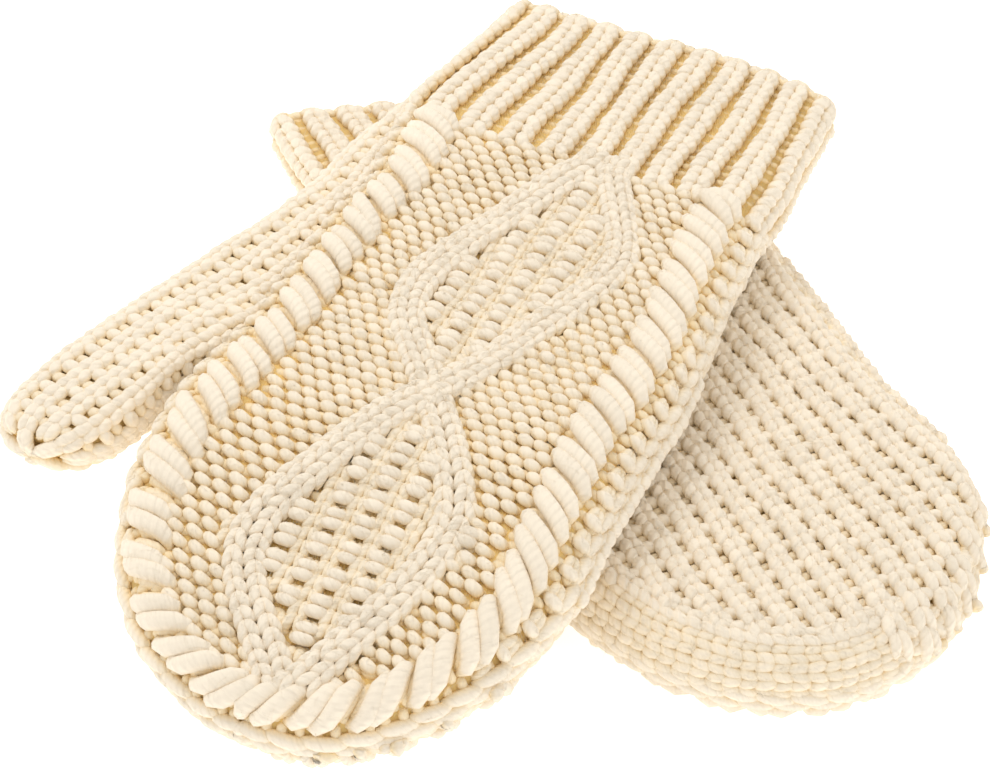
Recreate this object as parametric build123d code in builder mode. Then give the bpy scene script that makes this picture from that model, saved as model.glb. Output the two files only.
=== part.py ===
"""A pair of cable-knit mittens: the left one lies back up across the right one, palm up.

Each mitten is drawn once in its own frame: +Y from the cuff's mouth to the fingertip, +X towards
the thumb, +Z out of the upper face, with the middle plane at Z = 0. Then it is laid in the pair.
"""
from build123d import *
from math import cos, radians, sin, tan
import os

# Hand and cuff, lying flat and empty (mm, degrees)
LENGTH = 265.0  # mouth of the cuff to the fingertip
HAND_WIDTH = 117.0
HAND_DEPTH = 24.0
WIDEST_AT = 130.0  # from the mouth, where the hand reaches its full width
TIP_LENGTH = 68.0  # the half ellipse at the fingertip
CUFF_WIDTH = 108.0
CUFF_LENGTH = 64.0
CAST_ON_LENGTH = 5.0
WALL = 4.0
BAND_WIDTH = 14.0  # edge band between the back and the palm, seen from above
EDGE_FLAT = 1.0  # straight part left between the two rounded edges

# Thumb and its gusset
THUMB_WIDTH = 33.0
THUMB_DEPTH = 16.0
THUMB_LENGTH = 54.0  # hinge line to the tip
THUMB_TIP = 15.0
THUMB_LEAN = 17.0  # outwards from the hand's length
THUMB_AT = 163.0  # hinge, from the mouth
THUMB_CLEARANCE = 1.2
GUSSET_FROM = 66.0

# Movement of the soft joints, and the gaps that leave room for it
CUFF_FOLD = 45.0
CUFF_SWING = 8.0
THUMB_IN = 12.0
THUMB_OUT = 18.0
SPARE_ANGLE = 0.6
JOINT_GAP = 0.4

# How the pair lies: the middle of each mitten's length, and its turn about Z
LEFT_MIDDLE = (-3.3, -20.9)
LEFT_TURN = 154.9
RIGHT_MIDDLE = (36.6, -0.4)
RIGHT_TURN = 205.5
STACK_GAP = 0.5
DROOP_LENGTH = 75.0  # the end of the left fingertip that hangs down
DROOP_ANGLE = 12.0

REACH = 2 * LENGTH  # larger than anything that it cuts
NEAR = 0.01  # how close an edge has to lie to a face to count as its rim
END_MARGIN = 0.5  # keeps the rims of an open end sharp

thumb_root_x = HAND_WIDTH / 2 + THUMB_CLEARANCE + THUMB_WIDTH / 2 * cos(radians(THUMB_LEAN))
thumb_drop = (HAND_DEPTH - THUMB_DEPTH) / 2
thumb_frame = Location((thumb_root_x, THUMB_AT, -thumb_drop), (0, 0, -THUMB_LEAN))


def rounded_slab(sketch, depth, open_end, closed_end=REACH, inner_side=-REACH):
    """Raise a plan view to a depth, rounding its rims between two ends and beyond an inner side."""
    with BuildPart() as slab:
        add(sketch)
        extrude(amount=depth / 2, both=True)
        rims = (
            slab.edges()
            .filter_by(lambda edge: abs(abs(edge.center().Z) - depth / 2) < NEAR)
            .filter_by(lambda edge: open_end + END_MARGIN < edge.center().Y < closed_end)
            .filter_by(lambda edge: edge.center().X > inner_side)
        )
        fillet(rims, radius=(depth - EDGE_FLAT) / 2)
    return slab.part


def hand_plan(inset, start):
    """Plan view of the cuff and hand, smaller all round by an inset, from a start line."""
    cuff_half = CUFF_WIDTH / 2 - inset
    hand_half = HAND_WIDTH / 2 - inset
    tip_start = LENGTH - TIP_LENGTH
    with BuildSketch() as plan:
        with BuildLine():
            right_cuff = Line((cuff_half, start), (cuff_half, CUFF_LENGTH))
            right_heel = Spline(
                right_cuff @ 1, (hand_half, WIDEST_AT), tangents=[(0, 1), (0, 1)]
            )
            right_side = Line(right_heel @ 1, (hand_half, tip_start))
            tip = EllipticalCenterArc(
                (0, tip_start), hand_half, TIP_LENGTH - inset, start_angle=0, arc_size=180
            )
            left_side = Line(tip @ 1, (-hand_half, WIDEST_AT))
            left_heel = Spline(
                left_side @ 1, (-cuff_half, CUFF_LENGTH), tangents=[(0, -1), (0, -1)]
            )
            left_cuff = Line(left_heel @ 1, (-cuff_half, start))
            Line(left_cuff @ 1, right_cuff @ 0)
        make_face()
    return plan.sketch


def thumb_plan(inset, start):
    """Plan view of the thumb in its own frame, from a start line to its rounded tip."""
    half = THUMB_WIDTH / 2 - inset
    tip_start = THUMB_LENGTH - THUMB_TIP
    with BuildSketch() as plan:
        with BuildLine():
            outer = Line((half, start), (half, tip_start))
            tip = EllipticalCenterArc(
                (0, tip_start), half, THUMB_TIP - inset, start_angle=0, arc_size=180
            )
            inner = Line(tip @ 1, (-half, start))
            Line(inner @ 1, outer @ 0)
        make_face()
    return plan.sketch


def gusset_plan(inset, start):
    """Plan view of the gusset, from the hand's side to the thumb's hinge line."""
    half = THUMB_WIDTH / 2 - inset
    lean = radians(THUMB_LEAN)
    across = Vector(cos(lean), -sin(lean)) * half
    root = Vector(thumb_root_x, THUMB_AT)
    under_band = HAND_WIDTH / 2 - BAND_WIDTH
    with BuildSketch() as plan:
        with BuildLine():
            Polyline(
                (under_band, start),
                (CUFF_WIDTH / 2 - inset, start),
                root + across,
                root - across,
                (under_band, THUMB_AT),
                close=True,
            )
        make_face()
    return plan.sketch


def fold_gap():
    """Room for the cuff to fold upwards about the wrist line."""
    rise = HAND_DEPTH
    spread = rise * tan(radians(CUFF_FOLD / 2 + SPARE_ANGLE))
    with BuildPart() as gap:
        with BuildSketch(Plane.YZ):
            with BuildLine():
                Polyline(
                    (CUFF_LENGTH - JOINT_GAP / 2, -rise),
                    (CUFF_LENGTH + JOINT_GAP / 2, -rise),
                    (CUFF_LENGTH + JOINT_GAP / 2, 0),
                    (CUFF_LENGTH + JOINT_GAP / 2 + spread, rise),
                    (CUFF_LENGTH - JOINT_GAP / 2 - spread, rise),
                    (CUFF_LENGTH - JOINT_GAP / 2, 0),
                    close=True,
                )
            make_face()
        extrude(amount=HAND_WIDTH, both=True)
    return gap.part


def swing_gap():
    """Room for the cuff to swing sideways about the middle of the wrist."""
    side = HAND_WIDTH
    spread = side * tan(radians(CUFF_SWING / 2 + SPARE_ANGLE))
    near = CUFF_LENGTH - JOINT_GAP / 2
    far = CUFF_LENGTH + JOINT_GAP / 2
    with BuildPart() as gap:
        with BuildSketch():
            with BuildLine():
                Polyline(
                    (-side, near - spread),
                    (0, near),
                    (side, near - spread),
                    (side, far + spread),
                    (0, far),
                    (-side, far + spread),
                    close=True,
                )
            make_face()
        extrude(amount=HAND_DEPTH, both=True)
    return gap.part


def thumb_gap():
    """Room for the thumb's flat root to swing against the gusset, in the thumb's frame."""
    side = THUMB_WIDTH
    inner = side * tan(radians(THUMB_IN + SPARE_ANGLE))
    outer = side * tan(radians(THUMB_OUT + SPARE_ANGLE))
    with BuildPart() as gap:
        with BuildSketch():
            with BuildLine():
                Polyline(
                    (-side, side),
                    (-side, -inner),
                    (0, -JOINT_GAP / 2),
                    (side, -outer),
                    (side, side),
                    close=True,
                )
            make_face()
        extrude(amount=HAND_DEPTH, both=True)
    return gap.part.moved(thumb_frame)


def stretch(first, last):
    """Everything between two distances from the mouth."""
    with BuildPart() as block:
        with Locations((0, (first + last) / 2, 0)):
            Box(REACH, last - first, REACH)
    return block.part


def half_space(upper):
    """Everything above, or below, the middle plane."""
    with BuildPart() as block:
        Box(REACH, REACH, REACH, align=(Align.CENTER, Align.CENTER, Align.MIN if upper else Align.MAX))
    return block.part


def thumb_passage():
    """The hollow from the hand through the gusset to the thumb's hinge line."""
    with BuildPart() as hollow:
        add(gusset_plan(WALL, GUSSET_FROM + 3 * WALL))
        extrude(amount=THUMB_DEPTH / 2 - WALL, both=True)
    return hollow.part.moved(Location((0, 0, -thumb_drop)))


def mitten_sections(wrist_gap, back_is_up):
    """The separately worked sections of one mitten, each a closed solid, in the mitten's frame."""
    outside = rounded_slab(hand_plan(0, 0), HAND_DEPTH, 0)
    inside = rounded_slab(hand_plan(WALL, -WALL), HAND_DEPTH - 2 * WALL, -WALL)
    middle_field = extrude(hand_plan(BAND_WIDTH, -WALL), amount=HAND_DEPTH, both=True)
    passage = thumb_passage()
    with BuildPart() as shell:
        add(outside)
        add(inside, mode=Mode.SUBTRACT)
        add(wrist_gap, mode=Mode.SUBTRACT)
        add(passage, mode=Mode.SUBTRACT)
    with BuildPart() as cast_on_edge:
        add(shell.part)
        add(stretch(-WALL, CAST_ON_LENGTH), mode=Mode.INTERSECT)
    with BuildPart() as cuff_rib:
        add(shell.part)
        add(stretch(CAST_ON_LENGTH, CUFF_LENGTH), mode=Mode.INTERSECT)
    with BuildPart() as hand:
        add(shell.part)
        add(stretch(CUFF_LENGTH, REACH), mode=Mode.INTERSECT)
    with BuildPart() as edge_band:
        add(hand.part)
        add(middle_field, mode=Mode.SUBTRACT)
    panels = {}
    for panel_name, upper in (("back_panel", back_is_up), ("palm_panel", not back_is_up)):
        with BuildPart() as panel:
            add(hand.part)
            add(middle_field, mode=Mode.INTERSECT)
            add(half_space(upper), mode=Mode.INTERSECT)
        panels[panel_name] = panel.part
    gusset_block = rounded_slab(
        gusset_plan(0, GUSSET_FROM), THUMB_DEPTH, GUSSET_FROM, THUMB_AT - END_MARGIN, HAND_WIDTH / 2
    )
    with BuildPart() as thumb_gusset:
        add(gusset_block.moved(Location((0, 0, -thumb_drop))))
        add(outside, mode=Mode.SUBTRACT)
        add(passage, mode=Mode.SUBTRACT)
        add(wrist_gap, mode=Mode.SUBTRACT)
        add(thumb_gap(), mode=Mode.SUBTRACT)
    root_line = JOINT_GAP / 2
    thumb_skin = rounded_slab(thumb_plan(0, root_line), THUMB_DEPTH, root_line)
    thumb_hollow = rounded_slab(
        thumb_plan(WALL, root_line - WALL), THUMB_DEPTH - 2 * WALL, root_line - WALL
    )
    with BuildPart() as thumb_tube:
        add(thumb_skin.moved(thumb_frame))
        add(thumb_hollow.moved(thumb_frame), mode=Mode.SUBTRACT)
    return {
        "cast_on_edge": cast_on_edge.part,
        "cuff_rib": cuff_rib.part,
        "edge_band": edge_band.part,
        "back_panel": panels["back_panel"],
        "palm_panel": panels["palm_panel"],
        "thumb_gusset": thumb_gusset.part,
        "thumb_tube": thumb_tube.part,
    }


def drooped(section):
    """Bend the part of a section past the droop line down by the droop angle."""
    pivot = Location((0, LENGTH - DROOP_LENGTH, 0))
    fall = pivot * Location((0, 0, 0), (-DROOP_ANGLE, 0, 0)) * pivot.inverse()
    with BuildPart() as beyond:
        Box(REACH, REACH, REACH, align=(Align.CENTER, Align.MIN, Align.CENTER))
    fold_plane = pivot * Location((0, 0, 0), (-DROOP_ANGLE / 2, 0, 0))
    beyond_fold = beyond.part.moved(fold_plane)
    with BuildPart() as fingertip:
        add(section.moved(fall))
        add(beyond_fold, mode=Mode.INTERSECT)
    with BuildPart() as bent:
        add(section)
        add(beyond_fold, mode=Mode.SUBTRACT)
        add(fingertip.part)
    return bent.part


def laid(section, middle, turn, height):
    """Move a section from the mitten's frame to where the mitten lies."""
    return section.moved(Location((*middle, height), (0, 0, turn)) * Location((0, -LENGTH / 2, 0)))


right_height = HAND_DEPTH / 2
left_height = HAND_DEPTH + STACK_GAP + HAND_DEPTH / 2
left_sections = mitten_sections(fold_gap(), back_is_up=True)
right_sections = mitten_sections(swing_gap(), back_is_up=False)
for name in ("edge_band", "back_panel", "palm_panel"):
    left_sections[name] = drooped(left_sections[name])

os.makedirs("parts", exist_ok=True)
for side, sections, middle, turn, height in (
    ("left", left_sections, LEFT_MIDDLE, LEFT_TURN, left_height),
    ("right", right_sections, RIGHT_MIDDLE, RIGHT_TURN, right_height),
):
    for name, section in sections.items():
        piece = laid(section, middle, turn, height)
        piece.label = f"{side}_{name}"
        export_step(piece, f"parts/{side}_{name}.step")
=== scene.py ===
"""A pair of cream cable-knit mittens, stitch by stitch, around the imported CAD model.

Shapes are worked out in millimetres in each mitten's own frame: u across towards the thumb, v from the
cuff's mouth to the fingertip, w out of the upper face. They are laid in the row frame at the end.
"""
import math
from functools import partial

import bmesh
import bpy
import numpy as np
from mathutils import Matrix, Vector


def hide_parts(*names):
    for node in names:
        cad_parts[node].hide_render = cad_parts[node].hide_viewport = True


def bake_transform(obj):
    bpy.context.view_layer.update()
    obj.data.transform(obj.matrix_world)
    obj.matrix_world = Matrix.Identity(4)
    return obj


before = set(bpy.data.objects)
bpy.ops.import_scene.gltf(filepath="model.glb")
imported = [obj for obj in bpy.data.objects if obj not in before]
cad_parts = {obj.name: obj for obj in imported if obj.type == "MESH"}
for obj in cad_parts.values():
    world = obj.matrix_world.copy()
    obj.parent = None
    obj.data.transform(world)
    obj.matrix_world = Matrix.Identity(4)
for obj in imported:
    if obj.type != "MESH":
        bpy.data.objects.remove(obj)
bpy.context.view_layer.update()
rng = np.random.default_rng(11)

# ---------------------------------------------------------------- sizes, the same as the CAD's (mm)
MM = 0.001
LENGTH = 265.0
CUFF_END = 64.0
CUFF_HALF = 54.0
HAND_HALF = 58.5
WIDEST_AT = 130.0
TIP_LENGTH = 68.0
TIP_START = LENGTH - TIP_LENGTH
DROOP_LENGTH = 75.0
DROOP_AT = LENGTH - DROOP_LENGTH
DROOP_ANGLE = 12.0
THUMB_DROP = 4.0
UNDERSIDE = 11.9  # middle plane to what the mitten lies on
MITTENS = {
    "left": {"middle": (-3.3, -20.9), "turn": 154.9, "height": 36.5, "back_up": True},
    "right": {"middle": (36.6, -0.4), "turn": 205.5, "height": 12.0, "back_up": False},
}

# ---------------------------------------------------------------- the layer of yarn (mm)
SKIN = 1.9  # from the CAD's surface in to the middle of the yarn
BACKING = 1.0  # from there in to the fabric behind the stitches
BACKING_INSIDE = 3.4  # and to that fabric's inner face
HAND_ROUND = 10.0  # radius of the hand's edge, at the middle of the yarn
MOUTH_FLATTER = 3.6  # how much less that is at the cuff's mouth
DROOP_RUN = 36.0  # length over which the fingertip bends down
PRESS_START = -7.0  # height in the mitten below which its underside is pressed flat
UNEVEN = 0.6  # share of the fabric's unevenness that shows
ROW = 3.55
RIB_ROW = 4.0
RIB_COLUMNS = 11
CUFF_GIRTH = 112.0  # nominal way round one face of the cuff
THUMB_GIRTH = 40.0  # nominal way round one face of the thumb
ROPE_PITCH = 12.2
BAND_PITCH = 3.9
FIBRES = 5200
FACE_LIMIT = 180000

# Along one length of yarn: from 0 to 1, from -1 to 1, and an arch that is 0 at both ends
RING = 8
STEPS = 7
TAU = np.linspace(0, 1, STEPS)[None]
SLANT = 2 * TAU - 1
ARCH = 1 - SLANT**2


def smooth(x):
    """Ease from 0 to 1 as x goes from 0 to 1."""
    x = np.clip(x, 0, 1)
    return x * x * (3 - 2 * x)


def unit(vector):
    """Vectors at length 1; those of no length stay as they are."""
    return vector / (np.linalg.norm(vector, axis=-1, keepdims=True) + 1e-12)


# ---------------------------------------------------------------- surfaces, in a mitten's own frame
def half_width(v):
    """Half the width of the cuff and hand before the fingertip, to the middle of the yarn."""
    return CUFF_HALF + (HAND_HALF - CUFF_HALF) * smooth((v - CUFF_END) / (WIDEST_AT - CUFF_END)) - SKIN


def inset_of(u, v):
    """Distance inside the plan outline, and the outline's outward normal there."""
    straight = half_width(v) - np.abs(u)
    a, b = HAND_HALF - SKIN, TIP_LENGTH - SKIN
    y = np.maximum(v - TIP_START, 0.0)
    # The fingertip is an ellipse; halve the range of insets until the smaller ellipse meets the point.
    low, high = np.full(np.shape(u), -40.0), np.full(np.shape(u), a - 0.05)
    for _ in range(22):
        mid = (low + high) / 2
        outside = (u / (a - mid)) ** 2 + (y / (b - mid)) ** 2 > 1
        high = np.where(outside, mid, high)
        low = np.where(outside, low, mid)
    at_tip = v > TIP_START
    d = np.where(at_tip, low, straight)
    nu = np.where(at_tip, u / (a - low) ** 2, np.sign(u))
    nv = np.where(at_tip, y / (b - low) ** 2, 0.0)
    size = np.sqrt(nu**2 + nv**2) + 1e-9
    return d, nu / size, nv / size


def round_of(v):
    """Radius of the rounded edge: the empty cuff lies flatter towards its mouth."""
    return HAND_ROUND - MOUTH_FLATTER * (1 - smooth(v / (CUFF_END + 20)))


def field(u, v, up):
    """Point and normal of a face, by its plan position."""
    d, nu, nv = inset_of(u, v)
    r = round_of(v)
    c = np.clip((r - d) / r, 0, 1)
    s = np.sqrt(1 - c**2)
    sign = 1.0 if up else -1.0
    return np.stack([u, v, sign * r * s], -1), np.stack([nu * c, nv * c, sign * s], -1)


# Distance along the edge, measured round the fingertip at an inset in the middle of the edge strip
ARC_INSET = 12
TIP_ANGLES = np.linspace(0, math.pi / 2, 200)
TIP_STEPS = np.hypot(
    np.diff((HAND_HALF - ARC_INSET) * np.cos(TIP_ANGLES)),
    np.diff((TIP_LENGTH - ARC_INSET) * np.sin(TIP_ANGLES)),
)
TIP_ARC = np.concatenate([[0], np.cumsum(TIP_STEPS)])
SIDE_RUN = TIP_START - CUFF_END
BAND_RUN = SIDE_RUN + TIP_ARC[-1]


def band(t, s, side, up):
    """Point and normal of an edge strip: t up over the edge from the middle plane, s along the edge."""
    r = HAND_ROUND
    bend = np.clip(t / r, 0, math.pi / 2)
    d = r * (1 - np.cos(bend)) + np.maximum(t - r * math.pi / 2, 0)
    v = CUFF_END + np.minimum(s, SIDE_RUN)
    angle = np.interp(s - SIDE_RUN, TIP_ARC, TIP_ANGLES)
    a, b = HAND_HALF - SKIN - d, TIP_LENGTH - SKIN - d
    at_tip = s > SIDE_RUN
    u = np.where(at_tip, a * np.cos(angle), half_width(v) - d)
    v = np.where(at_tip, TIP_START + b * np.sin(angle), v)
    nu = np.where(at_tip, np.cos(angle) / a, 1.0)
    nv = np.where(at_tip, np.sin(angle) / b, 0.0)
    size = np.sqrt(nu**2 + nv**2)
    c, w = np.cos(bend), np.sin(bend)
    sign = 1.0 if up else -1.0
    point = np.stack([side * u, v, sign * r * w], -1)
    return point, np.stack([side * nu / size * c, nv / size * c, sign * w], -1)


def flat_round(q, half, r):
    """Sideways place, height and normal round half of a flattened tube: q runs from 0 to 1."""
    corner = r * math.pi / 2
    length = 2 * (half - r) + 2 * corner
    t = q * length
    near, far = np.clip(t / r, 0, math.pi / 2), np.clip((length - t) / r, 0, math.pi / 2)
    bend = np.minimum(near, far)
    past_middle = np.where(t > length - corner, -half + r * (1 - np.cos(bend)), half - r - (t - corner))
    u = np.where(t < corner, half - r * (1 - np.cos(bend)), past_middle)
    c = np.where(t < length / 2, np.cos(bend), -np.cos(bend))
    return u, r * np.sin(bend), c, np.sin(bend)


def tube(x, v, up, shrink=0.0):
    """Point and normal of a face of the cuff: x runs round it from 0 at the thumb side."""
    u, w, nu, nw = flat_round(x / CUFF_GIRTH, half_width(v) - shrink, round_of(v) - shrink)
    sign = 1.0 if up else -1.0
    return np.stack([u, v + 0 * u, sign * w], -1), np.stack([nu, 0 * nu, sign * nw], -1)


# The thumb and its gusset are a flattened horn: distance along, then its inner and outer sides.
THUMB_AT, THUMB_IN, THUMB_OUT = np.transpose(
    [
        (44, 30, 52),
        (70, 33, 61.5),
        (101, 38, 71),
        (138, 46, 82.5),
        (172, 60, 94.5),
        (190, 66.5, 99.5),
        (199, 71, 101.5),
    ]
)
THUMB_HALF = 7.4  # half its thickness
THUMB_TIP_RUN = 15.0  # length of the rounded tip past the last pair
THUMB_TIP_THIN = 0.45  # share of its thickness that is left at the very tip
THUMB_LEAN = np.array([0.30, 0.954])


def thumb_section(y):
    """Middle, half width and narrowing at a distance along the thumb; past the last pair it closes."""
    over = np.clip((y - THUMB_AT[-1]) / THUMB_TIP_RUN, 0, 1)
    flat = np.minimum(y, THUMB_AT[-1])
    outer = np.stack([np.interp(flat, THUMB_AT, THUMB_OUT), flat], -1)
    inner = np.stack([np.interp(flat, THUMB_AT, THUMB_IN), flat], -1)
    narrow = np.sqrt(np.clip(1 - over**2, 0, 1))
    middle = (outer + inner) / 2 + THUMB_LEAN * (over * THUMB_TIP_RUN)[..., None]
    return middle, (outer - inner) / 2 * narrow[..., None], narrow


def thumb(x, y, up, shrink=0.0):
    """Point and normal of a face of the thumb: x runs round it from 0 at the outer side."""
    middle, half, narrow = thumb_section(y)
    width = np.linalg.norm(half, axis=-1) + 1e-6
    across = half / width[..., None]
    width = np.maximum(width - shrink, 0.3)
    thick = THUMB_HALF * (THUMB_TIP_THIN + (1 - THUMB_TIP_THIN) * narrow) - shrink
    thick = np.minimum(np.maximum(thick, 0.3), 0.98 * width)
    aside, w, c, s = flat_round(x / THUMB_GIRTH, width, thick)
    sign = 1.0 if up else -1.0
    point = np.concatenate([middle + across * aside[..., None], (sign * w - THUMB_DROP)[..., None]], -1)
    return point, np.concatenate([across * c[..., None], (sign * s)[..., None]], -1)


# ---------------------------------------------------------------- laying a mitten in the row frame
def droop(point, normal):
    """Bend everything past the droop line smoothly down."""
    v = np.linspace(0, LENGTH + 20, 400)
    angle = math.radians(DROOP_ANGLE) * smooth((v - DROOP_AT + DROOP_RUN / 2) / DROOP_RUN)
    step = v[1] - v[0]
    middles = (angle[1:] + angle[:-1]) / 2
    along = np.concatenate([[0], np.cumsum(np.cos(middles))]) * step
    down = np.concatenate([[0], np.cumsum(np.sin(middles))]) * step
    a = np.interp(point[..., 1], v, angle)
    y, z = np.interp(point[..., 1], v, along), -np.interp(point[..., 1], v, down)
    w = point[..., 2]
    bent = np.stack([point[..., 0], y + w * np.sin(a), z + w * np.cos(a)], -1)
    forward = normal[..., 1] * np.cos(a) + normal[..., 2] * np.sin(a)
    upward = normal[..., 2] * np.cos(a) - normal[..., 1] * np.sin(a)
    return bent, np.stack([normal[..., 0], forward, upward], -1)


def unevenness(point):
    """Slow rises and dips of a hand-knitted fabric: three waves, slanted, along it and by rows."""
    u, v, w = point[..., 0], point[..., 1], point[..., 2]
    slanted = 0.35 * np.sin(u / 7.3 + v / 19.0 + w)
    return slanted + 0.3 * np.sin(v / 9.1 - u / 15.7) + 0.2 * np.sin(v / 4.3 + 2)


def settled(side, point):
    """The uneven way that each soft mitten lies: small pushes of its sides, cuff and fingertip."""
    u, v = point[..., 0], point[..., 1]
    near_mouth = np.clip(1 - v / CUFF_END, 0, 1)
    thumb_side, far_side = smooth((u - 8) / 46), smooth((-u - 8) / 46)
    on_hand = 1 - smooth((u - HAND_HALF - 3) / 10)
    if side == "left":
        heel = np.interp(v, (7, 34, 56, 70, 95), (0, 3.5, 7.5, 6, 0))
        tip = 4.0 * smooth((v - 150) / 45)
        moved_u = thumb_side * (heel + tip * on_hand) - far_side * tip * 0.25
        moved_v = 4.5 * smooth((v - 195) / 60) * on_hand + 4.0 * far_side * near_mouth
    else:
        side_push = np.interp(v, (40, 85, 110, 135, 180, 225), (0, 4, 0, -3, -3, 2.5))
        moved_u = -far_side * side_push
        moved_v = 12.5 * np.clip((CUFF_HALF - u) / 42, 0, 1) * near_mouth
    wander_u = 0.45 * np.sin(v / 12.7 + u / 9.3) + 0.25 * np.sin(v / 5.1 - u / 6.7)
    wander_v = 0.45 * np.sin(u / 10.9 + v / 17.3) + 0.25 * np.sin(u / 4.9 - v / 8.1)
    moved = point.copy()
    moved[..., 0] += moved_u + wander_u
    moved[..., 1] += moved_v + wander_v
    return moved


def pressed(w, thick):
    """Flatten the underside against what the mitten lies on, for yarn of a given radius."""
    room = UNDERSIDE + PRESS_START - thick
    below = np.minimum(w - PRESS_START, 0)
    return np.where(w < PRESS_START, PRESS_START - room * (1 - np.exp(below / room)), w)


def spin_of(side):
    """The turn about the vertical from a mitten's frame to the row frame."""
    turn = math.radians(MITTENS[side]["turn"])
    c, s = math.cos(turn), math.sin(turn)
    return np.array([[c, -s, 0], [s, c, 0], [0, 0, 1]])


def to_row(side, point):
    """Points of a mitten's frame where they are in the row frame, in metres."""
    mitten = MITTENS[side]
    offset = np.array([*mitten["middle"], mitten["height"]])
    centred = point - np.array([0, LENGTH / 2, 0])
    return (centred @ spin_of(side).T + offset) * MM


def laid(side, point, normal, lift, thick):
    """Row-frame position and normal of yarn that is lifted off its surface."""
    point = point + normal * (lift + UNEVEN * unevenness(point))[..., None]
    point = settled(side, point)
    point[..., 2] = pressed(point[..., 2], thick)
    if side == "left":
        point, normal = droop(point, normal)
    return to_row(side, point), normal @ spin_of(side).T


def laid_backing(side, point):
    """Row-frame position of the backing, which has none of the stitches' unevenness."""
    point = settled(side, point)
    if side == "left":
        point, _ = droop(point, np.zeros_like(point))
    return to_row(side, point)


# ---------------------------------------------------------------- meshes
def new_object(name, data):
    """An object in the scene."""
    made = bpy.data.objects.new(name, data)
    bpy.context.scene.collection.objects.link(made)
    return made


def point_values(mesh, **values):
    """Store numbers for each vertex, by name, for the material to read."""
    for name, numbers in values.items():
        attribute = mesh.attributes.new(name, "FLOAT", "POINT")
        attribute.data.foreach_set("value", np.ravel(numbers).astype(np.float32))


def yarn_rings(path, normal, radius, count, flat=1.0):
    """Rings of points round each path; flat stretches or squashes them along the normal."""
    theta = np.linspace(0, 2 * math.pi, count, endpoint=False)[:, None]
    tangent = unit(np.gradient(path, axis=1))
    across = unit(np.cross(tangent, normal))
    out = np.cross(across, tangent)
    ring = across[:, :, None] * np.cos(theta) + flat * out[:, :, None] * np.sin(theta)
    return path[:, :, None] + ring * radius[:, :, None, None]


def atlas_places(count, steps, ring, loops_one, wrap_one):
    """Unwrapped places for every length of yarn: one cell each, its caps as slivers at the cell's ends."""
    margin_u, margin_v = 0.08, 0.06
    columns = math.ceil(math.sqrt(count))
    rows = math.ceil(count / columns)
    step, turn = loops_one // ring, loops_one % ring + ring * wrap_one
    bulge = 0.05 * np.sin(math.pi * (loops_one % ring + 0.5) / ring)
    is_cap = np.arange(len(loops_one)) >= len(loops_one) - 2 * ring
    outward = np.where(step == 0, -bulge, bulge) * is_cap
    u = margin_u + (1 - 2 * margin_u) * step / (steps - 1) + outward
    v = margin_v + (1 - 2 * margin_v) * turn / ring
    cell = np.arange(count)[:, None]
    places = np.stack([cell % columns + u[None], cell // columns + v[None]], -1) / np.array([columns, rows])
    return places.reshape(-1).astype(np.float32)


def build_mesh(name, verts, runs, high, shade):
    """One mesh of many closed tubes with flat ends, from rings of points on each."""
    count, steps, ring = verts.shape[:3]
    mesh = bpy.data.meshes.new(name)
    mesh.vertices.add(count * steps * ring)
    mesh.vertices.foreach_set("co", verts.reshape(-1).astype(np.float32))
    i, k = np.meshgrid(np.arange(steps - 1), np.arange(ring), indexing="ij")
    after = (k + 1) % ring
    corners = [(i + 1) * ring + k, (i + 1) * ring + after, i * ring + after, i * ring + k]
    quads = np.stack(corners, -1).reshape(-1, 4)
    caps = np.stack([np.arange(ring), (steps - 1) * ring + np.arange(ring)[::-1]])
    loops_one = np.concatenate([quads.reshape(-1), caps.reshape(-1)])
    loops = (loops_one[None] + np.arange(count)[:, None] * steps * ring).reshape(-1)
    sizes = np.tile(np.concatenate([np.full(len(quads), 4), np.full(2, ring)]), count)
    starts = np.concatenate([[0], np.cumsum(sizes)[:-1]])
    mesh.loops.add(len(loops))
    mesh.loops.foreach_set("vertex_index", loops.astype(np.int32))
    mesh.polygons.add(len(sizes))
    mesh.polygons.foreach_set("loop_start", starts.astype(np.int32))
    mesh.polygons.foreach_set("use_smooth", np.ones(len(sizes), bool))
    wrap = np.zeros((steps - 1, ring, 4), bool)
    wrap[:, -1, 1:3] = True  # the second and third corners of the last face round each ring
    wrap_one = np.concatenate([wrap.reshape(-1), np.zeros(2 * ring, bool)])
    turns = np.arange(ring) / ring
    u_vert = np.broadcast_to(runs[:, :, None], (count, steps, ring)).reshape(-1)
    v_vert = np.broadcast_to(turns, (count, steps, ring)).reshape(-1)
    v_loop = v_vert[loops] + np.tile(wrap_one, count)
    along_yarn = mesh.uv_layers.new(name="yarn")
    along_yarn.data.foreach_set("uv", np.stack([u_vert[loops], v_loop], -1).reshape(-1).astype(np.float32))
    atlas = mesh.uv_layers.new(name="OFBake")
    atlas.data.foreach_set("uv", atlas_places(count, steps, ring, loops_one, wrap_one))
    point_values(mesh, height=high, shade=shade)
    mesh.update(calc_edges=True)
    mesh.validate()
    return mesh


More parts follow.
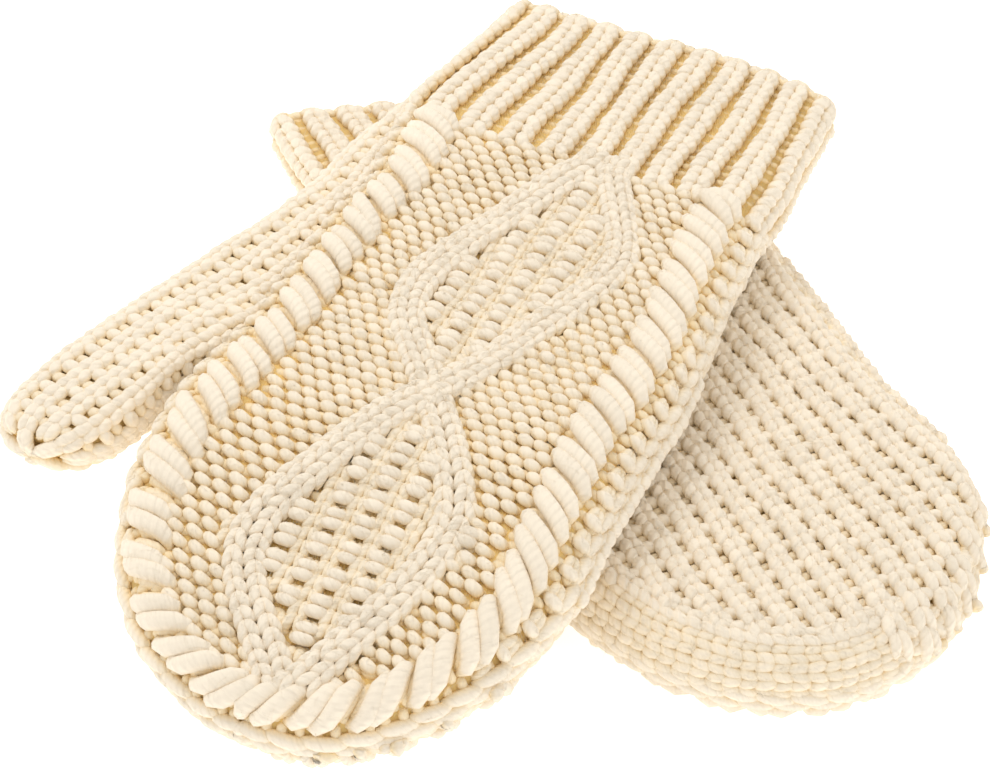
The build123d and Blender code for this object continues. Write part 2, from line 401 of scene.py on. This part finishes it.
def sheet_mesh(name, rings):
    """A closed skin through rings of points, as deep as the backing lies, painted with the shade of the
    deepest hollows.
    """
    count, ring = rings.shape[:2]
    faces = []
    for i in range(count - 1):
        for k in range(ring):
            after = (k + 1) % ring
            faces.append((i * ring + k, i * ring + after, (i + 1) * ring + after, (i + 1) * ring + k))
    faces.append(tuple(range(ring))[::-1])
    faces.append(tuple((count - 1) * ring + k for k in range(ring)))
    mesh = bpy.data.meshes.new(name)
    mesh.from_pydata(rings.reshape(-1, 3).tolist(), [], faces)
    mesh.polygons.foreach_set("use_smooth", np.ones(len(mesh.polygons), bool))
    # Painted shade: the whole skin takes nearly the golden colour of the deepest hollows
    point_values(mesh, height=np.full(len(mesh.vertices), -2.2), shade=np.zeros(len(mesh.vertices)))
    mesh.uv_layers.new(name="yarn")
    whole = bmesh.new()
    whole.from_mesh(mesh)
    bmesh.ops.recalc_face_normals(whole, faces=whole.faces)
    whole.to_mesh(mesh)
    whole.free()
    return mesh


# ---------------------------------------------------------------- stitches
def jitter(n, amount):
    """A small random difference for each of n lengths of yarn."""
    return rng.normal(0, amount, (n, 1))


def as_rows(x, y):
    """Places of stitches, one to a row."""
    x, y = np.broadcast_arrays(x, y)
    return np.ravel(x)[:, None], np.ravel(y)[:, None]


class Stitches:
    """Collects short lengths of yarn, each a closed plump tube, for one piece."""

    def __init__(self, side):
        self.side = side
        self.blocks = []

    def add(self, surface, x, y, h, thick, flat=1.0, taper=0.62):
        """x, y and h run along each length of yarn on a surface, one row per length."""
        x, y, h = np.broadcast_arrays(x, y, h)
        if x.shape[0] == 0:
            return
        point, normal = surface(x, y)
        centre, normal = laid(self.side, point, normal, h, float(np.max(thick)))
        along = np.linspace(-1, 1, x.shape[1])
        swell = (1 - taper * np.abs(along) ** 3.2)[None] * np.reshape(thick, (-1, 1)) * MM
        self.blocks.append((centre, normal, np.broadcast_to(swell, x.shape), flat, h))

    def knit(self, surface, x, y, width, thick, row=ROW, h=0.0, rise=0.7, foot=0.12, spread=0.25):
        """A V for each stitch: two legs that open towards the fingertip."""
        x, y = as_rows(x, y)
        n = len(x)
        for hand in (-1, 1):
            px = x + hand * width * (foot + spread * TAU) + jitter(n, 0.1)
            py = y + row * (-0.25 + 1.4 * TAU) + jitter(n, 0.12)
            ph = h + rise * (ARCH - 0.75) + jitter(n, 0.06)
            self.add(surface, px, py, ph, thick * (1 + jitter(n, 0.05)), flat=1.05)

    def purl(self, surface, x, y, length, thick, h=0.0, tilt=0.0, rise=1.0):
        """A bump for each stitch: a short bow of yarn across the column."""
        x, y = as_rows(x, y)
        n = len(x)
        px = x + SLANT * length / 2 + jitter(n, 0.12)
        py = y + tilt * SLANT - 0.55 * (1 - ARCH) + jitter(n, 0.15)
        ph = h + rise * (ARCH - 0.6) + jitter(n, 0.08)
        self.add(surface, px, py, ph, thick * (1 + jitter(n, 0.05)), taper=0.45)

    def rings(self):
        """Rings of points of every length of yarn, with its run, height and shade."""
        verts, runs, high, shade = [], [], [], []
        theta = np.linspace(0, 2 * math.pi, RING, endpoint=False)
        for centre, normal, swell, flat, h in self.blocks:
            verts.append(yarn_rings(centre, normal, swell, RING, flat))
            hops = np.linalg.norm(np.diff(centre, axis=1, prepend=centre[:, :1]), axis=-1)
            runs.append(np.cumsum(hops, 1) / MM / 10 + rng.random((len(centre), 1)))
            # Height of each ring point in the fabric, which the material turns into painted shade: golden
            # low down, cream on top
            high.append(h[:, :, None] + flat * np.sin(theta) * swell[:, :, None] / MM)
            shade.append(np.broadcast_to(rng.normal(0, 1, (len(centre), 1, 1)), high[-1].shape))
        return [np.concatenate(blocks) for blocks in (verts, runs, high, shade)]


def loose_fibres(side, sections, count):
    """Short curled fibres that stand off the stitches, as thin three-sided tubes."""
    centres = np.concatenate([block[0] for stitches in sections for block in stitches.blocks])
    normals = np.concatenate([block[1] for stitches in sections for block in stitches.blocks])
    upward = np.flatnonzero(normals[:, STEPS // 2, 2] > 0.1)
    picked = rng.choice(upward, count)
    spot = rng.integers(1, STEPS - 1, count)
    start, out = centres[picked, spot], normals[picked, spot]
    drift = rng.normal(0, 1, (count, 3))
    drift -= out * np.sum(drift * out, -1, keepdims=True)
    drift = unit(drift)
    swing = np.cross(out, drift)
    steps = np.linspace(0, 1, 6)[None, :, None]
    length = rng.uniform(3.0, 7.5, (count, 1, 1)) * MM
    curl = rng.uniform(-1.6, 1.6, (count, 1, 1))
    loft = rng.uniform(0.15, 0.75, (count, 1, 1))
    turn = curl * steps
    way = drift[:, None] * np.sin(turn + 1e-3) / (np.abs(curl) + 0.2) * np.sign(curl)
    way = way + swing[:, None] * (1 - np.cos(turn)) / (np.abs(curl) + 0.2)
    path = start[:, None] + out[:, None] * (1.5 * MM + loft * length * np.sin(steps * 2.3) * 0.6)
    path = path + way * length * 1.4
    radius = 0.035 * MM * (1 - 0.6 * steps[..., 0])
    verts = yarn_rings(path, out[:, None], radius, 3)
    flat = np.zeros(verts.shape[:3])
    runs = np.broadcast_to(steps[..., 0], verts.shape[:2])
    # Height 1.2 gives the fibres the cream of the crests, clear of the painted shade of the hollows
    return build_mesh(f"{side}_fibres", verts, runs, flat + 1.2, flat)


def settle(piece, side, nodes):
    """Give a piece its wool, hide the CAD nodes that it stands for, and bake its place into its mesh."""
    piece.data.materials.append(WOOL)
    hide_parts(*[f"{side}_{node}" for node in nodes])
    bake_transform(piece)


def finish_piece(name, stitches, side, nodes):
    """Make the objects of one piece, sliced from front to back so that each stays light."""
    verts, runs, high, shade = stitches.rings()
    triangles = ((STEPS - 1) * RING * 2 + 2 * (RING - 2)) * len(verts)
    parts = max(1, math.ceil(triangles / FACE_LIMIT))
    order = np.argsort(verts[:, STEPS // 2, 0, 1], kind="stable")
    for index, chosen in enumerate(np.array_split(order, parts)):
        label = name if parts == 1 else f"{name}_{index + 1}"
        mesh = build_mesh(label, verts[chosen], runs[chosen], high[chosen], shade[chosen])
        settle(new_object(label, mesh), side, nodes)


# ---------------------------------------------------------------- patterns
DIAMONDS = (
    ((-5, 68), (25.5, 134), (-2, 166), (-29.5, 103)),
    ((-2, 166), (25.5, 221), (-8, 254), (-30.5, 204)),
)
BANDS = (
    ((-1.5, 60), (-1.0, 70), (25.5, 134), (-2, 166), (-30.5, 204), (-9, 252), (-7, 262)),
    ((-9.0, 60), (-9.0, 70), (-29.5, 103), (-2, 166), (25.5, 221), (-6, 252), (-9, 262)),
)


def grid(xs, ys):
    """Places in straight rows and columns."""
    x, y = np.meshgrid(xs, ys)
    return x.ravel(), y.ravel()


def brick_grid(half, pitch, first, last, row):
    """Places in rows like bricks, every other row moved along by half a pitch."""
    u, v = grid(np.arange(-half, half + 0.1, pitch), np.arange(first, last, row))
    return u + pitch / 2 * (np.round((v - first) / row) % 2), v


def rounded_path(points, cuts=3):
    """Corner-cut a polyline into a smooth path."""
    path = np.array(points, float)
    for _ in range(cuts):
        near, far = path[:-1] * 0.78 + path[1:] * 0.22, path[:-1] * 0.22 + path[1:] * 0.78
        path = np.concatenate([path[:1], np.stack([near, far], 1).reshape(-1, 2), path[-1:]])
    return path


def path_runs(path):
    """Distance along a path to each of its points."""
    return np.concatenate([[0], np.cumsum(np.linalg.norm(np.diff(path, axis=0), axis=1))])


def path_frame(path, along):
    """Point and unit direction at a distance along a path."""
    runs = path_runs(path)

    def at(distance):
        return np.stack([np.interp(distance, runs, path[:, 0]), np.interp(distance, runs, path[:, 1])], -1)

    return at(along), unit(at(along + 0.8) - at(along - 0.8))


def inside_polygon(u, v, polygon):
    """Whether each place is inside, by how many sides a line from it crosses."""
    inside = np.zeros(np.shape(u), bool)
    for (x0, y0), (x1, y1) in zip(polygon, polygon[1:] + polygon[:1]):
        crosses = (y0 > v) != (y1 > v)
        cut = (x1 - x0) * (v - y0) / (y1 - y0 + 1e-9) + x0
        inside ^= crosses & (u < cut)
    return inside


def distance_to(u, v, path):
    """Distance from each place to the nearest point of a path."""
    best = np.full(np.shape(u), 1e9)
    for (x0, y0), (x1, y1) in zip(path[:-1], path[1:]):
        length2 = (x1 - x0) ** 2 + (y1 - y0) ** 2 + 1e-9
        t = np.clip(((u - x0) * (x1 - x0) + (v - y0) * (y1 - y0)) / length2, 0, 1)
        best = np.minimum(best, np.hypot(u - x0 - t * (x1 - x0), v - y0 - t * (y1 - y0)))
    return best


def rope_middle(s):
    """Arc height of the rope cable over the edge: nearer the edge round the fingertip."""
    return 17.5 - 6.0 * smooth((s - SIDE_RUN + 10) / 60)


def field_edge(v):
    """Inset of the cabled field's border: narrower round the fingertip."""
    return 18.5 - 8.5 * smooth((v - TIP_START + 8) / 55)


# ---------------------------------------------------------------- sections
def knit_cuff(side):
    """One-by-one rib on both faces, outside and just inside the mouth, and the cast-on edge."""
    stitches = Stitches(side)
    pitch = CUFF_GIRTH / RIB_COLUMNS
    columns = (np.arange(RIB_COLUMNS) + 0.5) * pitch
    edges = np.arange(RIB_COLUMNS + 1) * pitch
    for up in (True, False):
        outside, rim, inside = (partial(tube, up=up, shrink=shrink) for shrink in (0.0, 1.6, 3.4))
        gutters = edges[:-1] if up else edges[1:]
        x, y = grid(columns, np.arange(2.2, CUFF_END + 2, RIB_ROW))
        stitches.knit(
            outside, x, y, width=9.2, thick=2.05, row=RIB_ROW, h=0.3, rise=0.9, foot=0.05, spread=0.28
        )
        x, y = grid(gutters, np.arange(3.5, CUFF_END, RIB_ROW))
        stitches.purl(outside, x, y, length=3.6, thick=1.3, h=-2.0, rise=0.3)
        x, y = grid(edges[:-1], np.arange(2.5, 40, RIB_ROW))
        stitches.knit(inside, x, y, width=7.0, thick=1.45, row=RIB_ROW, h=-0.9, rise=0.3)
        stitches.purl(rim, np.arange(0, CUFF_GIRTH, 4.6), 0.9, length=5.0, thick=2.1, rise=0.2)
        stitches.purl(outside, columns, 1.2, length=6.4, thick=1.75, h=-0.3, rise=0.8)
        stitches.purl(outside, gutters, 1.6, length=4.2, thick=1.4, h=-1.0, rise=0.4)
    return stitches


def raised_band(stitches, surface, path, phase):
    """Two columns of knit stitches that follow a path over the back, rising and dipping slowly."""
    starts = np.arange(1.0, path_runs(path)[-1] - 1, BAND_PITCH)[:, None]
    n = len(starts)
    for column in (-1, 1):
        for hand in (-1, 1):
            offset = column * 2.45 + hand * (0.05 + 1.95 * TAU)
            point, direction = path_frame(path, starts + BAND_PITCH * (-0.25 + 1.4 * TAU))
            px = point[..., 0] + direction[..., 1] * offset + jitter(n, 0.12)
            py = point[..., 1] - direction[..., 0] * offset
            crown = 1.9 + 0.5 * np.sin(starts / 30.0 + phase) - 0.22 * np.abs(offset) ** 1.3
            ph = crown + 1.4 * (ARCH - 0.7) + jitter(n, 0.12)
            keep = (inset_of(px, py)[0].min(1) > 3) & (py.max(1) < LENGTH - 10)
            stitches.add(surface, px[keep], py[keep], ph[keep], 1.5, flat=1.1)


def knit_back_field(side, up):
    """The middle of the back: purl bumps, with paired bumps in two diamonds between crossing bands."""
    stitches = Stitches(side)
    surface = partial(field, up=up)
    bands = [rounded_path(points) for points in BANDS]

    def clear(u, v, inside, gap, border):
        """Places inside or outside the diamonds, a gap away from the bands and inside the border."""
        away = np.minimum(distance_to(u, v, bands[0]), distance_to(u, v, bands[1]))
        in_diamond = inside_polygon(u, v, DIAMONDS[0]) | inside_polygon(u, v, DIAMONDS[1])
        kept = (in_diamond == inside) & (away > gap) & (inset_of(u, v)[0] > field_edge(v) - border)
        return u[kept], v[kept]

    x, y = clear(*brick_grid(44, 4.7, CUFF_END + 2, LENGTH - 6, 3.3), inside=False, gap=4.2, border=0)
    stitches.purl(surface, x, y, length=4.3, thick=1.62, h=-0.2, tilt=-0.75, rise=1.3)
    u, v = grid(np.arange(-42, 42.1, 8.2) - 4.0, np.arange(CUFF_END + 4, LENGTH - 6, ROW * 2))
    x, y = clear(u, v, inside=True, gap=4.4, border=2)
    for step in (-1.35, 1.35):
        stitches.purl(surface, x, y + step, length=5.6, thick=1.7, h=0.7, rise=1.6)
    stitches.knit(surface, x, y + 4.0, width=5.4, thick=1.5, h=-0.5, rise=0.9)
    x, y = clear(u + 4.1, v + 3.4, inside=True, gap=4.4, border=2)
    for step in (-3.4, 0.0):
        stitches.knit(surface, x, y + step, width=4.6, thick=1.5, h=-0.2, rise=0.9)
    for number, path in enumerate(bands):
        raised_band(stitches, surface, path, phase=3 * number)
    return stitches


def knit_under(side, up):
    """Deep stitches behind the pattern, seen only in its hollows."""
    stitches = Stitches(side)
    u, v = brick_grid(56, 4.6, CUFF_END + 1, LENGTH - 3, 3.4)
    kept = inset_of(u, v)[0] > 6.0
    stitches.purl(partial(field, up=up), u[kept], v[kept], length=4.2, thick=1.5, h=-1.7, rise=0.8)
    return stitches


def edge_chain(stitches, strip):
    """Two lines of chain along the edge, and moss stitch between them and the rope cable."""
    chain = np.arange(1.5, BAND_RUN + 2, 2 * ROW)[:, None]
    for height, phase in ((0.4, 0.0), (3.0, ROW)):
        t = height + 0.9 * SLANT + jitter(len(chain), 0.15)
        along = np.minimum(chain + phase + 4.6 * SLANT, BAND_RUN + 1.5)
        stitches.add(strip, np.maximum(t, 0.05), along, 0.2 + 0.7 * (ARCH - 0.6), 1.95)
    moss_at, rope_half = 6.6, 6.5
    rows = np.arange(1.5, BAND_RUN - 1, ROW)
    rows = rows[moss_at < rope_middle(rows) - rope_half]
    stitches.purl(strip, moss_at, rows[::2], length=4.8, thick=1.75, h=0.3, rise=1.0)
    stitches.knit(strip, moss_at, rows[1::2], width=4.0, thick=1.4, h=-0.2)


def rope_cable(stitches, strip, hand):
    """The twists of a rope cable: two plump strands each, over two thinner ones that lean the other way."""
    starts = np.arange(1.0, BAND_RUN - 2, ROPE_PITCH)[:, None]
    n = len(starts)
    bow = np.sin(math.pi / 2 * np.clip(1.15 * SLANT, -1, 1))
    bow = bow * (1 - 0.2 * smooth((starts - SIDE_RUN) / 50))
    for strand in (-0.5, 0.5):
        t = rope_middle(starts) + hand * 5.6 * bow + jitter(n, 0.3)
        along = starts + 4.7 * strand + (6.9 + jitter(n, 0.6)) * SLANT + jitter(n, 0.3)
        along = np.clip(along, 0.3, BAND_RUN + 1.0)
        height = 0.3 + 3.0 * (ARCH - 0.55) + jitter(n, 0.2)
        stitches.add(strip, np.maximum(t, 0.5), along, height, 2.6, taper=0.72)
        t = rope_middle(starts) - hand * (3.6 * bow + 1.2 * strand) + jitter(n, 0.2)
        along = np.clip(starts + 6.1 + 3.4 * strand - 3.4 * SLANT, 0.5, BAND_RUN + 1.0)
        stitches.add(strip, np.maximum(t, 0.5), along, -1.2 + 1.0 * (ARCH - 0.6), 2.0)


def knit_back_edge(side, up):
    """Edge chain, moss stitch and the rope cable that run round the outline, over deep stitches."""
    stitches = Stitches(side)
    deep_rows = np.arange(1.0, BAND_RUN, 3.4)
    for hand in (-1, 1):
        strip = partial(band, side=hand, up=up)
        edge_chain(stitches, strip)
        rope_cable(stitches, strip, hand)
        for number, t in enumerate(np.arange(5.0, 23.0, 4.2)):
            s = deep_rows + 1.7 * (number % 2)
            s = s[(s < SIDE_RUN + 12) | (t < 16)]
            stitches.purl(strip, t, s, length=4.0, thick=1.5, h=-1.4, rise=0.7)
    return stitches


def knit_palm(side, up):
    """Seeded rib in straight columns, ending at a band of plain stitches round the outline."""
    stitches = Stitches(side)
    surface = partial(field, up=up)
    columns, rows = np.arange(-56, 56.1, 7.8), np.arange(CUFF_END + 2, LENGTH - 4, ROW)

    def within(u, v):
        """Places inside the border, which only the thumb's side of the fingertip has."""
        border = 11.0 * smooth((v - TIP_START + 20) / 50) * smooth((u + 12) / 8)
        kept = inset_of(u, v)[0] > 0.3 + border
        return u[kept], v[kept]

    x, y = within(*grid(columns, rows))
    stitches.knit(surface, x, y, width=5.2, thick=1.8, h=1.2, rise=1.1)
    x, y = within(*grid(columns + 3.9, rows[::2]))
    stitches.purl(surface, x, y, length=4.4, thick=1.85, h=-0.1, tilt=-0.5, rise=1.2)
    stitches.purl(surface, x, y + ROW, length=4.0, thick=1.65, h=-1.0, tilt=0.5, rise=0.6)
    rows = np.arange(1.5, BAND_RUN - 1, ROW)
    for hand in (-1, 1):
        strip = partial(band, side=hand, up=up)
        for t in (2.2, 6.6):
            stitches.knit(strip, t, rows, width=4.8, thick=1.6, h=-0.1)
        at_tip = rows[rows > SIDE_RUN - 20] if hand > 0 else rows[rows > BAND_RUN - 14]
        for t, height in ((11.2, -0.1), (15.4, 0.9)):
            stitches.knit(strip, t, at_tip, width=4.8, thick=1.65, h=height)
    return stitches


def knit_thumb(side):
    """Seeded rib along the thumb and its gusset; every other knit column reaches the tip."""
    stitches = Stitches(side)
    end = THUMB_AT[-1] + THUMB_TIP_RUN
    for up in (True, False):
        surface = partial(thumb, up=up)
        for number, x in enumerate(np.arange(0.0, THUMB_GIRTH + 0.1, 4.0)):
            rows = np.arange(48.0, end - (2.0 if number % 4 == 0 else 5.0), ROW)
            if number % 2 == 0:
                stitches.knit(surface, x, rows, width=5.0, thick=1.75, h=0.4, rise=1.0)
            else:
                stitches.purl(surface, x, rows[::2], length=4.4, thick=1.85, rise=1.2)
                stitches.purl(surface, x, rows[1::2], length=4.0, thick=1.7, h=-0.7, rise=0.5)
    return stitches


# ---------------------------------------------------------------- the backing fabric under the stitches
def hand_ring(v, depth):
    """One section round the hand, a depth below the middle of the yarn."""
    if v > TIP_START:
        a, b = HAND_HALF - SKIN - depth, TIP_LENGTH - SKIN - depth
        half = a * math.sqrt(max(1 - ((v - TIP_START) / b) ** 2, 0.0))
    else:
        half = float(half_width(v)) - depth
    u = max(half, 0.3) * np.cos(np.linspace(0, math.pi, 44))
    vv = np.full(len(u), v)
    d = np.maximum(inset_of(u, vv)[0] - depth, 0)
    r = round_of(vv) - depth
    c = np.clip((r - d) / r, 0, 1)
    w = np.maximum(r * np.sqrt(1 - c**2), 0.05)
    top = np.stack([u, vv, w], -1)
    bottom = np.stack([u[::-1], vv, -w[::-1]], -1)
    return np.concatenate([top, bottom])


def hand_backing(side):
    """The fabric behind the stitches: a bag with an outer and an inner wall, open at the cuff."""
    straight = np.linspace(1.2, TIP_START, 50)
    rounded = TIP_START + (TIP_LENGTH - 1) * np.sin(np.linspace(0.06, 1.5, 26))
    walls = []
    for depth in (BACKING, BACKING_INSIDE):
        last = LENGTH - SKIN - depth - 0.4
        walls.append([hand_ring(min(v, last), depth) for v in np.concatenate([straight, rounded])])
    outer, inner = walls
    return sheet_mesh(f"{side}_backing", laid_backing(side, np.concatenate([outer[::-1], inner])))


def thumb_backing(side):
    """The fabric behind the thumb's stitches, closed at its tip."""
    straight = np.linspace(60, THUMB_AT[-1], 30)
    rounded = THUMB_AT[-1] + 12.5 * np.sin(np.linspace(0.1, 1.5, 12))
    x = np.linspace(0, THUMB_GIRTH, 22)
    rings = []
    for distance in np.concatenate([straight, rounded]):
        y = np.full(len(x), distance)
        top, _ = thumb(x, y, up=True, shrink=BACKING)
        bottom, _ = thumb(x[::-1], y, up=False, shrink=BACKING)
        rings.append(np.concatenate([top, bottom]))
    return sheet_mesh(f"{side}_thumb_backing", laid_backing(side, np.array(rings)))


# ---------------------------------------------------------------- wool
def set_inputs(node, **values):
    """Set a node's inputs, with underscores for the spaces in their names."""
    for name, value in values.items():
        node.inputs[name.replace("_", " ")].default_value = value


def wool_material():
    """Soft undyed wool: plied yarn with fine fibres, and painted warm shade that turns it golden in the
    hollows.
    """
    material = bpy.data.materials.new("cream_wool")
    material.use_nodes = True
    nodes, links = material.node_tree.nodes, material.node_tree.links

    def maths(operation, *terms):
        """A maths node's result, from sockets and numbers."""
        node = nodes.new("ShaderNodeMath")
        node.operation = operation
        for socket, term in zip(node.inputs, terms):
            if isinstance(term, bpy.types.NodeSocket):
                links.new(term, socket)
            else:
                socket.default_value = term
        return node.outputs["Value"]

    def vertex_value(name):
        """A number that the mesh has for each vertex."""
        node = nodes.new("ShaderNodeAttribute")
        node.attribute_name = name
        return node.outputs["Fac"]

    shader = nodes["Principled BSDF"]
    set_inputs(shader, Roughness=0.92, Specular_IOR_Level=0.18)
    set_inputs(shader, Sheen_Weight=0.12, Sheen_Roughness=0.5, Sheen_Tint=(1.0, 0.93, 0.80, 1))
    # Colour by height in the fabric, which is painted shade: golden in the hollows and on the sides of the
    # yarn that face into the fabric, cream on the crests; each length of yarn is also a little lighter or
    # darker at random
    depth = nodes.new("ShaderNodeMapRange")
    set_inputs(depth, From_Min=-2.4, From_Max=2.0)
    links.new(vertex_value("height"), depth.inputs["Value"])
    ramp = nodes.new("ShaderNodeValToRGB")
    # Painted shade: golden for the shaded hollows, cream for the crests, a warmer middle between
    ramp.color_ramp.elements[0].color = (0.93, 0.65, 0.24, 1)
    ramp.color_ramp.elements[1].color = (0.93, 0.82, 0.66, 1)
    ramp.color_ramp.elements.new(0.5).color = (0.94, 0.77, 0.50, 1)
    links.new(depth.outputs["Result"], ramp.inputs["Fac"])
    toned = nodes.new("ShaderNodeHueSaturation")
    links.new(ramp.outputs["Color"], toned.inputs["Color"])
    links.new(maths("MULTIPLY_ADD", vertex_value("shade"), 0.018, 1.0), toned.inputs["Value"])
    links.new(toned.outputs["Color"], shader.inputs["Base Color"])
    # Plies that wind round the yarn, with finer fibres that wind with them
    yarn = nodes.new("ShaderNodeUVMap")
    yarn.uv_map = "yarn"
    split = nodes.new("ShaderNodeSeparateXYZ")
    links.new(yarn.outputs["UV"], split.inputs["Vector"])
    plies, ply_lead, fibres_round = 3.0, 1.6, 16.0
    wound = maths("MULTIPLY_ADD", split.outputs["X"], ply_lead, split.outputs["Y"])
    ply = maths("SINE", maths("MULTIPLY", wound, plies * 2 * math.pi))
    strand = nodes.new("ShaderNodeCombineXYZ")
    links.new(maths("MULTIPLY", wound, fibres_round), strand.inputs["X"])
    links.new(split.outputs["X"], strand.inputs["Y"])
    fibre = nodes.new("ShaderNodeTexNoise")
    set_inputs(fibre, Scale=1.0, Detail=3.0)
    links.new(strand.outputs["Vector"], fibre.inputs["Vector"])
    bump = nodes.new("ShaderNodeBump")
    set_inputs(bump, Strength=0.6, Distance=0.0004)
    links.new(maths("MULTIPLY_ADD", ply, 0.5, fibre.outputs["Fac"]), bump.inputs["Height"])
    links.new(bump.outputs["Normal"], shader.inputs["Normal"])
    return material


WOOL = wool_material()

# ---------------------------------------------------------------- camera
ELEVATION = math.radians(44.0)
DISTANCE = 0.816
camera_data = bpy.data.cameras.new("camera")
camera_data.lens = 106.5
camera_data.sensor_width = 36.0
camera = new_object("camera", camera_data)
camera.location = (0, -DISTANCE * math.cos(ELEVATION), DISTANCE * math.sin(ELEVATION))
camera.rotation_euler = (math.pi / 2 - ELEVATION, 0, 0)
bpy.context.scene.camera = camera

# ---------------------------------------------------------------- the pair
for side, mitten in MITTENS.items():
    back_up = mitten["back_up"]
    backing = new_object(f"{side}_backing", hand_backing(side))
    thumb_back = new_object(f"{side}_thumb_backing", thumb_backing(side))
    settle(backing, side, ["edge_band"])
    settle(thumb_back, side, ["thumb_tube"])
    hand_sections = [
        (knit_cuff(side), "cuff_knit", ["cuff_rib", "cast_on_edge"]),
        (knit_back_field(side, back_up), "back_knit", ["back_panel"]),
        (knit_back_edge(side, back_up), "edge_knit", ["edge_band"]),
        (knit_palm(side, not back_up), "palm_knit", ["palm_panel"]),
        (knit_under(side, back_up), "back_under", ["back_panel"]),
        (knit_under(side, not back_up), "palm_under", ["palm_panel"]),
    ]
    for stitches, name, nodes in hand_sections:
        finish_piece(f"{side}_{name}", stitches, side, nodes)
    thumb_nodes = ["thumb_tube", "thumb_gusset"]
    finish_piece(f"{side}_thumb_knit", knit_thumb(side), side, thumb_nodes)
    outer_sections = [section[0] for section in hand_sections[:4]]
    fibres = new_object(f"{side}_fibres", loose_fibres(side, outer_sections, FIBRES))
    settle(fibres, side, ["back_panel"])

# ---------------------------------------------------------------- floor and light
bpy.ops.mesh.primitive_plane_add(size=6, location=(0, 0, -0.0003))
floor = bpy.context.object
floor.name = "floor"
floor_material = bpy.data.materials.new("floor_white")
floor_material.use_nodes = True
floor_shader = floor_material.node_tree.nodes["Principled BSDF"]
set_inputs(floor_shader, Base_Color=(0.98, 0.98, 0.98, 1), Roughness=0.9)
set_inputs(floor_shader, Emission_Color=(1, 1, 1, 1), Emission_Strength=0.55)
floor.data.materials.append(floor_material)


def area_light(name, place_at, size, power):
    """A soft white light that points at the middle of the pair."""
    data = bpy.data.lights.new(name, "AREA")
    data.size = size
    data.energy = power
    light = new_object(name, data)
    light.location = place_at
    light.rotation_euler = (-Vector(place_at)).to_track_quat("-Z", "Y").to_euler()


area_light("key", (-0.5, 0.5, 1.1), 0.7, 6)
area_light("fill", (0.9, -0.4, 0.8), 1.2, 2)
world = bpy.data.worlds.new("studio")
world.use_nodes = True
set_inputs(world.node_tree.nodes["Background"], Color=(1, 1, 1, 1), Strength=0.8)
bpy.context.scene.world = world
bpy.context.scene.view_settings.view_transform = "Standard"
